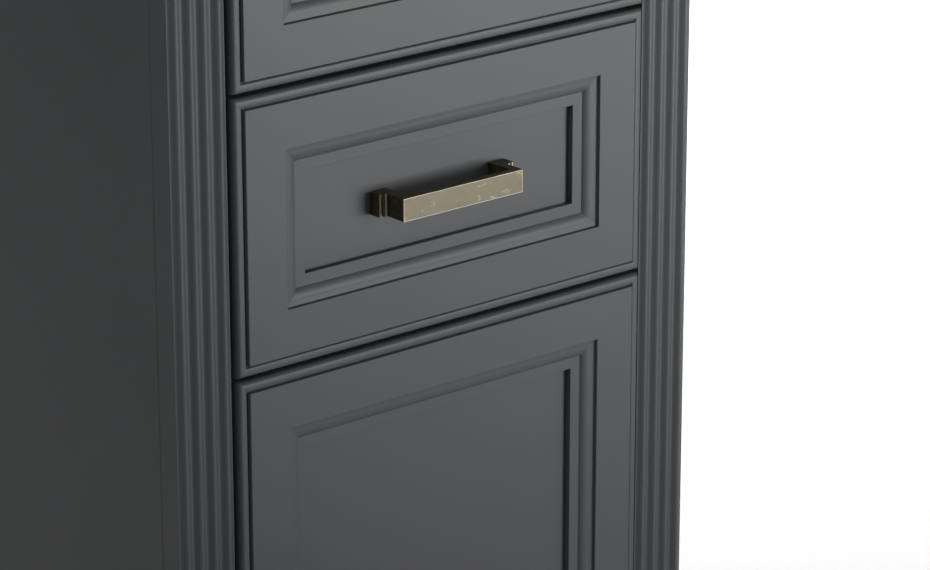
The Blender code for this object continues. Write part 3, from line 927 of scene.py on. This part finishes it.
@dataclass
class BridgeHandle:
    """A square brass bridge handle with a stepped foot at each end."""

    node: str
    upright: bool
    bar: float = 7.0 * MM
    leg: float = 8.0 * MM
    foot_length: float = 16.8 * MM
    foot_height: float = 13.0 * MM
    bar_inset: float = 7.9 * MM
    fillet: float = 3.0 * MM
    chamfer: float = 1.0 * MM
    lip: float = 1.8 * MM
    hollow: float = 1.2 * MM
    bead: float = 1.5 * MM
    rim: float = 0.6 * MM
    ease: float = 0.4 * MM
    bead_wear_from: float = 0.1 * MM
    lip_wear_from: float = 5.5 * MM

    def outline(self, half: float, reach: float) -> list[Point2]:
        """Section of the handle, along it and out from its seat.

        Args:
            half: Half of its length over the feet.
            reach: How far it stands out.

        Returns:
            The points in order, right half first.
        """
        end = half - self.bar_inset
        leg, top, under = end - self.leg, self.foot_height, reach - self.bar
        fillet, chamfer, bead = self.fillet, self.chamfer, self.bead
        start = half - self.foot_length
        right = arc((leg - fillet, under - fillet), (fillet, fillet), 90, 0, 10)
        right += [(leg, top - chamfer), (start, top - 2 * chamfer), (start, 0.0)]
        right += [(half, 0.0), (half, top - chamfer), (half - chamfer, top)]
        right += crown(half - self.lip, end + 2 * bead, top, -self.hollow, 10)
        right += arc((end + bead, top), (bead, bead), 0, 180, 12)[1:]
        right.append((end, reach))
        return right + [(-x, y) for x, y in reversed(right)]

    def build(self, frame: Frame) -> None:
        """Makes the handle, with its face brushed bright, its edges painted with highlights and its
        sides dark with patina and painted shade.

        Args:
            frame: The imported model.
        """
        low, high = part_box(self.node)
        middle = (low + high) / 2
        size = high - low
        run = Axis.Z if self.upright else Axis.X
        across = Axis.X if self.upright else Axis.Z
        half = (size.z if self.upright else size.x) / 2
        width = size.x if self.upright else size.z
        seat = Vector((middle.x, high.y, middle.z)) - across.value * width / 2
        bm = bmesh.new()
        corners = [
            seat + run.value * along - Axis.Y.value * out
            for along, out in self.outline(half, size.y)
        ]
        far = lift(bm, outline_face(bm, corners))
        bmesh.ops.translate(bm, vec=across.value * width, verts=far)
        bmesh.ops.recalc_face_normals(bm, faces=bm.faces)
        bevel_sharp(bm, self.ease, 3)
        bmesh.ops.recalc_face_normals(bm, faces=bm.faces)
        self.mark_wear(bm, seat, run)
        brushed = BRASS_UPRIGHT if self.upright else BRASS_ACROSS
        mesh = finished_mesh(bm, f"{self.node}_brushed")
        body = frame.body_of[self.node]
        # The handle's edges take a painted highlight, and its sides take patina with painted shade.
        frame.install(mesh, body, [brushed, PATINA_AND_SHADE, RUBBED_HIGHLIGHT], self.node)

    def mark_wear(self, bm: bmesh.types.BMesh, seat: Vector, run: Axis) -> None:
        """Splits the handle into its brushed face, its rubbed edges with painted highlights, and its
        sides dark with patina and painted shade.

        Args:
            bm: The handle.
            seat: A point midway along its seat.
            run: The axis that it runs along.
        """
        face_out = max(seat.y - vert.co.y for vert in bm.verts)
        front = max(
            (face for face in bm.faces if face.normal.y < -FACING),
            key=lambda face: face.calc_area(),
        )
        rim = bmesh.ops.inset_individual(bm, faces=[front], thickness=self.rim, depth=0.0)["faces"]
        bar_end = max(abs((vert.co - seat).dot(run.value)) for vert in front.verts)
        bar_end += self.rim + self.ease
        for face in bm.faces:
            centre = face.calc_center_median()
            out = seat.y - centre.y
            beyond = abs((centre - seat).dot(run.value)) - bar_end - self.bead_wear_from
            on_edge = out > face_out - self.ease and face.normal.y > -FACING
            on_bead = out > self.foot_height and 0 < beyond < 2 * self.bead
            past_hollow = beyond > self.lip_wear_from - self.bead_wear_from
            on_lip = out > self.foot_height - 2 * self.ease and past_hollow
            # Rubbed edges, the foot's bead and its lip take the bright finish, a painted highlight.
            # Every other side takes the dark finish, which is patina with painted shade.
            face.material_index = 2 if on_edge or on_bead or on_lip else 1
        for face in rim:
            face.material_index = 2
        front.material_index = 0


# ------------------------------------------------------------------ the carcass
@dataclass
class Pilaster:
    """A reeded post beside the fronts."""

    side: Side
    reeds: int = 4
    rise: float = 4.0 * MM
    steps: int = 24

    def build(self, frame: Frame) -> None:
        """Draws the plan, which starts and ends in a valley, up the whole height.

        Args:
            frame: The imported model.
        """
        node = f"pilaster_{self.side.word}"
        low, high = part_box(node)
        plan = [Vector((low.x, high.y, low.z))]
        for i in range(self.reeds * self.steps + 1):
            depth = self.rise * (1 + math.cos(2 * math.pi * i / self.steps)) / 2
            along = i / (self.reeds * self.steps)
            plan.append(Vector((low.x + (high.x - low.x) * along, low.y + depth, low.z)))
        plan.append(Vector((high.x, high.y, low.z)))
        bm = bmesh.new()
        face = outline_face(bm, plan)
        bmesh.ops.translate(bm, vec=(0, 0, high.z - low.z), verts=lift(bm, face))
        frame.install(finished_mesh(bm, f"{node}_reeded"), "carcass", LACQUER, node)


@dataclass
class TopBoard:
    """The top board, moulded along its front and both sides."""

    node: str = "top_board"
    overhang: float = 25.0 * MM
    step: float = 4.0 * MM
    cove: float = 12.0 * MM
    fillet: float = 3.0 * MM
    ovolo: float = 6.0 * MM
    rounding: float = 3.0 * MM

    def edge(self, thickness: float) -> list[Point2]:
        """The moulded edge, from below: a step, a cove, a fillet, an ovolo and a round.

        Args:
            thickness: The board's thickness.

        Returns:
            Distance out from the carcass, and height, of each point.
        """
        step, cove, ovolo, rounding = self.step, self.cove, self.ovolo, self.rounding
        cove_top = step + cove
        shelf = cove_top + self.fillet
        points = [(-step, 0.0), (step, 0.0), (step, step)]
        points += arc((step, cove_top), (cove, cove), -90, 0, 12)[1:]
        points += [(shelf, cove_top), (shelf, shelf)]
        points += arc((shelf, shelf + ovolo), (ovolo, ovolo), -90, 0, 8)[1:]
        centre = (self.overhang - rounding, thickness - rounding)
        points += arc(centre, (rounding, rounding), 0, 90, 6)
        return points

    def build(self, frame: Frame) -> None:
        """Grows the board level by level from its underside.

        Args:
            frame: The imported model.
        """
        low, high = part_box(self.node)
        half = high.x - self.overhang
        face_y = low.y + self.overhang
        bm = bmesh.new()
        bmesh.ops.create_grid(bm, x_segments=1, y_segments=1, size=1)
        bmesh.ops.delete(bm, geom=bm.faces[:], context="FACES_ONLY")
        edges, corners = bm.edges[:], bm.verts[:]
        for level, (reach, height) in enumerate(self.edge(high.z - low.z)):
            if level:
                grown = bmesh.ops.extrude_edge_only(bm, edges=edges)["geom"]
                corners = [part for part in grown if isinstance(part, bmesh.types.BMVert)]
                edges = [
                    part for part in grown
                    if isinstance(part, bmesh.types.BMEdge) and set(part.verts) <= set(corners)
                ]
            for vert in corners:
                vert.co.x = math.copysign(half + reach, vert.co.x)
                vert.co.y = face_y - reach if vert.co.y < 0 else high.y
                vert.co.z = low.z + height
        bmesh.ops.holes_fill(bm, edges=bm.edges[:], sides=4)
        frame.install(finished_mesh(bm, f"{self.node}_moulded"), "carcass", LACQUER, self.node)


@dataclass
class LevellingFoot:
    """A plastic levelling foot: a flange, a sleeve, a screwed stem and a pad."""

    node: str
    flange_radius: float = 30.0 * MM
    flange_thickness: float = 4.0 * MM
    sleeve_radius: float = 17.0 * MM
    sleeve_length: float = 44.0 * MM
    stem_radius: float = 11.0 * MM
    crest_radius: float = 10.9 * MM
    root_radius: float = 9.9 * MM
    thread_top: float = 36.0 * MM
    pitch: float = 3.0 * MM
    turns: int = 8
    pad_radius: float = 25.0 * MM
    pad_height: float = 12.0 * MM

    def outline(self, top: float) -> list[Point2]:
        """Half of the foot's section, from its top down to the floor.

        Args:
            top: Height of the flange's upper face.

        Returns:
            Radius and height of each point.
        """
        flange, sleeve, pad = self.flange_radius, self.sleeve_radius, self.pad_radius
        under, end = top - self.flange_thickness, top - self.sleeve_length
        points = [(0.0, top), (flange - 0.5 * MM, top), (flange, top - 0.6 * MM)]
        points += [(flange, under + 0.6 * MM), (flange - 1 * MM, under)]
        points += [(sleeve + 2 * MM, under - 3 * MM), (sleeve, under - 5 * MM), (sleeve, end)]
        points += [(sleeve - 0.6 * MM, end - 1 * MM), (self.stem_radius, end - 1.4 * MM)]
        for turn in range(self.turns):
            height = self.thread_top - turn * self.pitch
            points += [(self.crest_radius, height), (self.root_radius, height - 0.3 * self.pitch)]
        points += [(self.stem_radius, self.pad_height), (pad - 5 * MM, 0.7 * self.pad_height)]
        points += [(pad - 0.8 * MM, 0.4 * self.pad_height), (pad, 0.3 * self.pad_height)]
        points += [(pad, 0.5 * MM), (pad - 0.6 * MM, 0.0), (0.0, 0.0)]
        return points

    def build(self, frame: Frame) -> None:
        """Turns the foot, with a thread on its stem.

        Args:
            frame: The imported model.
        """
        low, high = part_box(self.node)
        centre = (low + high) / 2
        place = Matrix.Translation((centre.x, centre.y, low.z))
        mesh = turned(f"{self.node}_turned", self.outline(high.z - low.z), 48, place)
        frame.install(mesh, "carcass", PLASTIC, self.node)


@dataclass
class Carcass:
    """Everything that stands still, apart from the runners and hinges."""

    pin_radius: float = 2.5 * MM
    pin_length: float = 9.0 * MM
    pin_flange: float = 4.0 * MM
    pin_chamfer: float = 0.6 * MM
    pin_drop: float = 0.2 * MM
    shelf_gap: float = 0.7 * MM
    shelf_margin: float = 60.0 * MM
    notch: float = 45.0 * MM
    boards: dict[str, Finish] = field(default_factory=lambda: {
        "side_panel": LACQUER, "plinth": LACQUER, "bottom_panel": MELAMINE,
        "divider": MELAMINE, "shelf": MELAMINE, "hinge_batten": MELAMINE,
        "runner_packing": MELAMINE, "back_panel": BACKING,
    })

    def build(self, frame: Frame) -> None:
        """Makes the boards, posts, top, feet and shelf pins.

        Args:
            frame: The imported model.
        """
        for board, finish in self.boards.items():
            for node in frame.named(board):
                if node.startswith(board):
                    frame.ease(node, finish)
        for side in Side:
            Pilaster(side).build(frame)
        TopBoard().build(frame)
        for node in frame.named("foot_"):
            LevellingFoot(node).build(frame)
        for node in frame.named("shelf_"):
            self.shelf_pins(node, frame)

    def shelf_pins(self, shelf: str, frame: Frame) -> None:
        """Puts four steel pins under a shelf.

        Args:
            shelf: The shelf's node.
            frame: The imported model.
        """
        low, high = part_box(shelf)
        radius, length, flange = self.pin_radius, self.pin_length, self.pin_flange
        profile = [(0.0, 0.0), (flange, 0.0), (flange, 1.2 * MM), (radius, 1.5 * MM)]
        profile += [(radius, length - self.pin_chamfer), (radius - self.pin_chamfer, length)]
        profile.append((0.0, length))
        for side in Side:
            wall = high.x if side is Side.RIGHT else low.x
            wall += side.value * self.shelf_gap
            front = low.y + self.shelf_margin + (self.notch if side is Side.RIGHT else 0)
            turn = Matrix.Rotation(-side.value * math.pi / 2, 4, "Y")
            for place, y in (("front", front), ("back", high.y - self.shelf_margin)):
                spot = Matrix.Translation((wall, y, low.z - flange - self.pin_drop))
                mesh = turned(f"{shelf}_pin_{side.word}_{place}", profile, 24, spot @ turn)
                frame.install(mesh, "carcass", ZINC)


# -------------------------------------------------------------- hinges, runners
@dataclass
class Screw:
    """A pan-head screw with a round socket sunk in its head."""

    radius: float = 3.6 * MM
    height: float = 1.7 * MM
    rim: float = 0.3
    socket: float = 1.3 * MM
    socket_floor: float = 0.4

    def build(self, name: str, place: Vector, out: Vector, body: str, frame: Frame) -> None:
        """Sets the screw's head on a face.

        Args:
            name: The piece's name.
            place: Where the head's underside meets the face.
            out: The way that the head faces.
            body: The body that it rides on.
            frame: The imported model.
        """
        floor, rim = self.height * self.socket_floor, self.height * self.rim
        profile = [(0.0, floor), (self.socket, floor)]
        profile += arc((0, rim), (self.radius, self.height - rim), 68, 0, 6)
        profile += [(self.radius, 0.0), (0.0, 0.0)]
        turn = Matrix.Translation(place) @ out.to_track_quat("Z", "Y").to_matrix().to_4x4()
        mesh = turned(name, profile, 20, turn)
        frame.install(mesh, body, NICKEL)


@dataclass
class ConcealedHinge:
    """A concealed hinge: its cup in the door and its arm on the batten."""

    stem: str
    edge_mm: float = 0.35
    cup_screw_reach: float = 21.0 * MM
    arm_screw_reach: float = 17.0 * MM
    arm_screw_depth: float = 23.0 * MM
    plate_thickness: float = 2.2 * MM

    def build(self, frame: Frame) -> None:
        """Eases both plates and puts two screws in each.

        Args:
            frame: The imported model.
        """
        cup, arm = f"{self.stem}_cup", f"{self.stem}_arm"
        frame.ease(cup, NICKEL, self.edge_mm)
        frame.ease(arm, NICKEL, self.edge_mm)
        low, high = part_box(cup)
        seat = Vector(((low.x + high.x) / 2, high.y, (low.z + high.z) / 2))
        self.screw_pair(cup, seat, self.cup_screw_reach, Axis.Y.value, frame)
        low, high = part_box(arm)
        plate = (high.x - self.plate_thickness, high.y - self.arm_screw_depth)
        seat = Vector((*plate, (low.z + high.z) / 2))
        self.screw_pair(arm, seat, self.arm_screw_reach, -Axis.X.value, frame)

    def screw_pair(
        self, node: str, seat: Vector, reach: float, out: Vector, frame: Frame
    ) -> None:
        """Puts a screw above and below the middle of a plate.

        Args:
            node: The plate's node.
            seat: The middle of its face.
            reach: How far each screw is from the middle.
            out: The way that the face looks.
            frame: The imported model.
        """
        for label, way in (("upper", 1), ("lower", -1)):
            place = seat + way * reach * Axis.Z.value
            Screw().build(f"{node}_screw_{label}", place, out, frame.body_of[node], frame)


@dataclass
class Runners:
    """The three members of each drawer runner."""

    edge_mm: float = 0.2

    def build(self, frame: Frame) -> None:
        """Eases the edges of every member.

        Args:
            frame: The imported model.
        """
        for node in frame.named("_runner_"):
            if "packing" not in node:
                frame.ease(node, ZINC, self.edge_mm, 1)


@dataclass
class Drawer:
    """The drawer's box behind its framed front."""

    edge_mm: float = 1.0
    bottom_edge_mm: float = 0.3

    def build(self, frame: Frame) -> None:
        """Makes the front, the handle and the box.

        Args:
            frame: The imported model.
        """
        FramedFront("drawer").build(frame)
        BridgeHandle("drawer_handle", upright=False).build(frame)
        for node in frame.named("drawer_side_"):
            frame.ease(node, PLY_SIDES, self.edge_mm)
        frame.ease("drawer_bottom", PLY_SIDES, self.bottom_edge_mm)
        frame.ease("drawer_back", PLY_ACROSS, self.edge_mm)


@dataclass
class Door:
    """A door with its handle, hinges and closing bumpers."""

    name: str
    bumper_radius: float = 4.5 * MM
    bumper_height: float = 1.6 * MM
    bumper_from_side: float = 30.0 * MM
    bumper_from_end: float = 6.0 * MM

    def build(self, frame: Frame) -> None:
        """Makes the front, the handle, the hinges and the bumpers.

        Args:
            frame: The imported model.
        """
        FramedFront(self.name).build(frame)
        BridgeHandle(f"{self.name}_handle", upright=True).build(frame)
        for cup in frame.named(self.name, "cup"):
            ConcealedHinge(cup.removesuffix("_cup")).build(frame)
        low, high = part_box(f"{self.name}_stile_left")
        dome = arc((0, 0), (self.bumper_radius, self.bumper_height), 90, 0, 6)
        profile = [(0.0, self.bumper_height), *dome[1:], (0.0, 0.0)]
        turn = Matrix.Rotation(-math.pi / 2, 4, "X")
        ends = {"upper": high.z - self.bumper_from_end, "lower": low.z + self.bumper_from_end}
        for label, z in ends.items():
            spot = Matrix.Translation((low.x + self.bumper_from_side, high.y, z))
            mesh = turned(f"{self.name}_bumper_{label}", profile, 24, spot @ turn)
            frame.install(mesh, self.name, PLASTIC)


# --------------------------------------------------------------------- the room
@dataclass(frozen=True)
class Lamp:
    """A square soft light: its power is in watts, and its beam a full angle in degrees."""

    name: str
    place: tuple[float, float, float]
    target: tuple[float, float, float]
    size: float
    power: float
    beam: float

    def build(self) -> None:
        """Hangs the light and aims it at its target."""
        data = bpy.data.lights.new(self.name, "AREA")
        data.size = self.size
        data.energy = self.power
        data.spread = math.radians(self.beam)
        light = bpy.data.objects.new(self.name, data)
        light.location = self.place
        aim = Vector(self.target) - Vector(self.place)
        light.rotation_euler = aim.to_track_quat("-Z", "Y").to_euler()
        bpy.context.scene.collection.objects.link(light)


LAMPS = (
    # Low and to the right, so that whatever faces left falls dark.
    Lamp("key", (1.45, -2.90, 0.85), (0.80, -0.25, 1.70), 1.2, 21.5, 75.0),
    Lamp("left_fill", (-3.0, -1.2, 1.9), (0.0, 0.0, 1.45), 1.8, 2.0, 80.0),
    Lamp("floor_wash", (2.6, 2.6, 3.4), (2.4, 2.2, 0.0), 3.0, 90.0, 110.0),
    Lamp("back_fill", (-2.2, 3.2, 2.4), (0.0, 0.0, 1.0), 2.0, 8.0, 110.0),
)


@dataclass
class Studio:
    """The floor, the lights and the camera."""

    yaw: float = 39.8
    pitch: float = 19.1
    distance: float = 3.318
    lens: float = 154.0
    target_x: float = 0.018
    target_drop: float = 0.087
    ambient: float = 0.10
    floor_half: float = 60.0
    floor_lift: float = 0.4
    dust_size: float = 0.5

    def build(self) -> None:
        """Sets the stage up round the cabinet."""
        low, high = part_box("drawer_stile_left")
        target = Vector((self.target_x, low.y, (low.z + high.z) / 2 - self.target_drop))
        self.camera(target)
        self.floor()
        self.world()
        for lamp in LAMPS:
            lamp.build()
        view = bpy.context.scene.view_settings
        view.view_transform = "Standard"
        view.look = "None"

    def camera(self, target: Vector) -> None:
        """Places the camera round its target.

        Args:
            target: The point that it looks at.
        """
        yaw, pitch = math.radians(self.yaw), math.radians(self.pitch)
        ahead = Vector((
            math.sin(yaw) * math.cos(pitch), math.cos(yaw) * math.cos(pitch), -math.sin(pitch)
        ))
        data = bpy.data.cameras.new("camera")
        data.lens = self.lens
        data.sensor_width = 36.0
        data.clip_end = 200.0
        camera = bpy.data.objects.new("camera", data)
        camera.location = target - ahead * self.distance
        camera.rotation_euler = ahead.to_track_quat("-Z", "Y").to_euler()
        bpy.context.scene.collection.objects.link(camera)
        bpy.context.scene.camera = camera

    def floor(self) -> None:
        """Lays a wide pale floor, lifted to white where the camera sees it."""
        bm = bmesh.new()
        bmesh.ops.create_grid(bm, x_segments=1, y_segments=1, size=self.floor_half)
        mesh = finished_mesh(bm, "studio_floor")
        floor = bpy.data.objects.new("studio_floor", mesh)
        bpy.context.scene.collection.objects.link(floor)
        material = bpy.data.materials.new("pale_studio_floor")
        material.use_nodes = True
        tree = material.node_tree
        shader = tree.nodes["Principled BSDF"]
        place = add_node(tree, "ShaderNodeTexCoord").outputs["Object"]
        dust = add_node(
            tree, "ShaderNodeTexNoise", {"Vector": place, "Scale": 1 / self.dust_size}
        ).outputs[0]
        colour = add_node(
            tree, "ShaderNodeMix", {"Factor": dust, 6: linear("#f4f4f4"), 7: linear("#efefef")},
            data_type="RGBA",
        ).outputs[2]
        seen = add_node(tree, "ShaderNodeLightPath").outputs["Is Camera Ray"]
        lifted = add_node(
            tree, "ShaderNodeMath", {0: seen, 1: self.floor_lift}, operation="MULTIPLY"
        ).outputs[0]
        tree.links.new(colour, shader.inputs["Base Color"])
        tree.links.new(lifted, shader.inputs["Emission Strength"])
        shader.inputs["Emission Color"].default_value = linear("#ffffff")
        shader.inputs["Roughness"].default_value = 0.9
        shader.inputs["Specular IOR Level"].default_value = 0.1
        mesh.materials.append(material)

    def world(self) -> None:
        """A white surround that lights the cabinet only a little."""
        world = bpy.data.worlds.new("studio")
        bpy.context.scene.world = world
        world.use_nodes = True
        tree = world.node_tree
        seen = add_node(tree, "ShaderNodeLightPath").outputs["Is Camera Ray"]
        strength = add_node(
            tree, "ShaderNodeMapRange", {"Value": seen, "To Min": self.ambient, "To Max": 1.0}
        ).outputs[0]
        tree.links.new(strength, tree.nodes["Background"].inputs["Strength"])
        tree.nodes["Background"].inputs["Color"].default_value = (1.0, 1.0, 1.0, 1.0)


def main() -> None:
    """Builds the cabinet's finished pieces and the studio, in order."""
    logging.basicConfig(level=logging.INFO, format="%(message)s")
    frame = Frame()
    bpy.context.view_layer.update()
    Studio().build()
    Carcass().build(frame)
    Door("lower_door").build(frame)
    Door("upper_door").build(frame)
    Drawer().build(frame)
    Runners().build(frame)
    log.info("%d finished pieces", frame.count)


if __name__ == "__main__":
    main()
